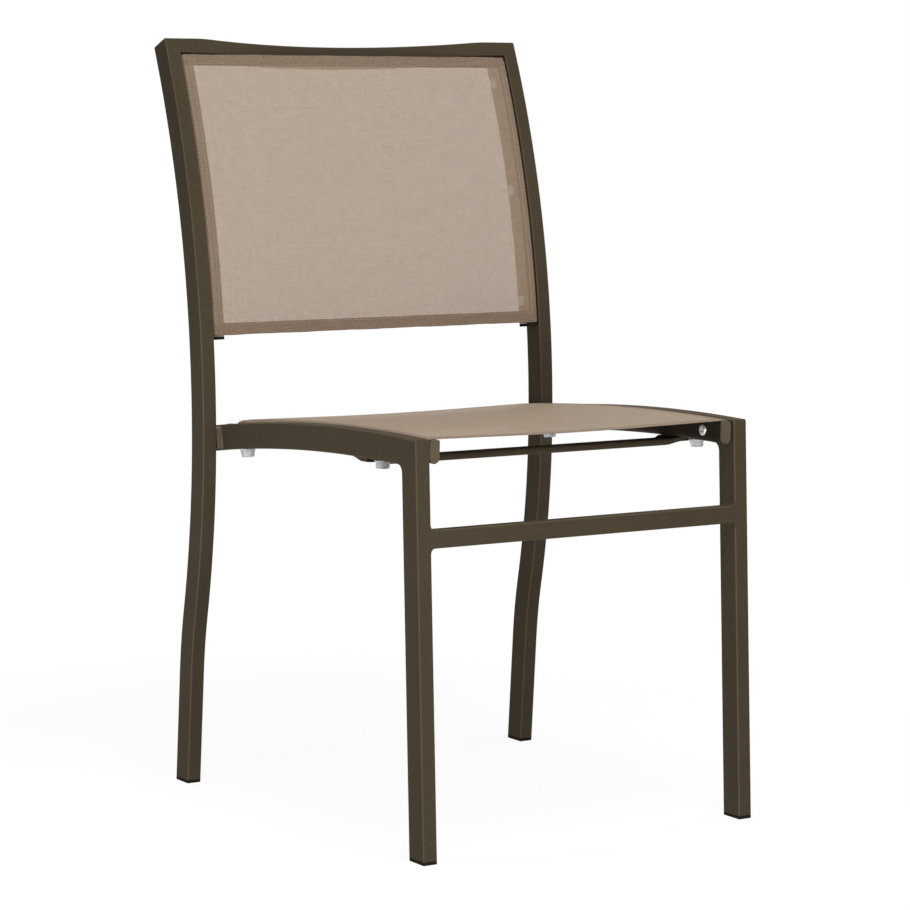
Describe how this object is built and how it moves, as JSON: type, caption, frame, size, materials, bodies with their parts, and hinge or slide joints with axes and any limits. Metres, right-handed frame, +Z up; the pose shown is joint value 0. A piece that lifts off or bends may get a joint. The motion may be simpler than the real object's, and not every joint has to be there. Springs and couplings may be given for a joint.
{
  "type": "sling patio chair",
  "caption": "Armless stacking patio chair: bronze rectangular-tube frame with a bowed top rail, stretched mesh sling seat and sling back, stacking bumpers and floor glides.",
  "frame": {"origin": "on the floor, under the middle of the chair's bounding box", "axes": "+Z up, the sitter faces -Y, +X at the right of someone who faces the chair's front"},
  "size_m": [0.493, 0.589, 0.8798],
  "materials": {
    "frame": "dark bronze powder coat, satin with a fine texture",
    "sling_rail": "dark bronze powder coat, satin",
    "sling_fabric": "taupe open mesh of vinyl-coated polyester yarn, matte",
    "spline_rod": "plain extruded vinyl",
    "cap_plastic": "moulded bronze-brown plastic, lightly grained",
    "black_plastic": "moulded black-brown plastic",
    "zinc": "zinc plated",
    "bumper": "translucent grey moulded plastic"
  },
  "bodies": {
    "root": {"upright_right": "frame", "upright_left": "frame", "top_rail": "frame", "front_leg_right": "frame", "front_leg_left": "frame", "seat_rail_right": "frame", "seat_rail_left": "frame", "rail_spacer_right": "frame", "rail_spacer_left": "frame", "front_stretcher": "frame", "rear_cross_rail": "frame", "front_spreader": "frame", "back_sling_rail_right": "sling_rail", "back_sling_rail_left": "sling_rail", "seat_sling_rail_right": "sling_rail", "seat_sling_rail_left": "sling_rail", "back_sling": "sling_fabric", "seat_sling": "sling_fabric", "back_spline_rod_right": "spline_rod", "back_spline_rod_left": "spline_rod", "seat_spline_rod_right": "spline_rod", "seat_spline_rod_left": "spline_rod", "seat_rail_end_plug_right": "black_plastic", "seat_rail_end_plug_left": "black_plastic", "seat_rail_cap_front_right": "cap_plastic", "seat_rail_cap_front_left": "cap_plastic", "seat_rail_cap_rear_right": "cap_plastic", "seat_rail_cap_rear_left": "cap_plastic", "back_rail_plug_bottom_right": "black_plastic", "back_rail_plug_bottom_left": "black_plastic", "back_rail_plug_top_right": "black_plastic", "back_rail_plug_top_left": "black_plastic", "seat_rail_screw_1_right": "zinc", "seat_rail_screw_1_left": "zinc", "seat_rail_screw_2_right": "zinc", "seat_rail_screw_2_left": "zinc", "seat_rail_screw_3_right": "zinc", "seat_rail_screw_3_left": "zinc", "back_rail_screw_1_right": "zinc", "back_rail_screw_1_left": "zinc", "back_rail_screw_2_right": "zinc", "back_rail_screw_2_left": "zinc", "back_rail_screw_3_right": "zinc", "back_rail_screw_3_left": "zinc", "spreader_screw_right": "zinc", "spreader_screw_left": "zinc", "stack_bumper_front_right": "bumper", "stack_bumper_front_left": "bumper", "stack_bumper_rear_right": "bumper", "stack_bumper_rear_left": "bumper", "foot_glide_front_right": "black_plastic", "foot_glide_front_left": "black_plastic", "foot_glide_rear_right": "black_plastic", "foot_glide_rear_left": "black_plastic"}
  },
  "joints": []
}
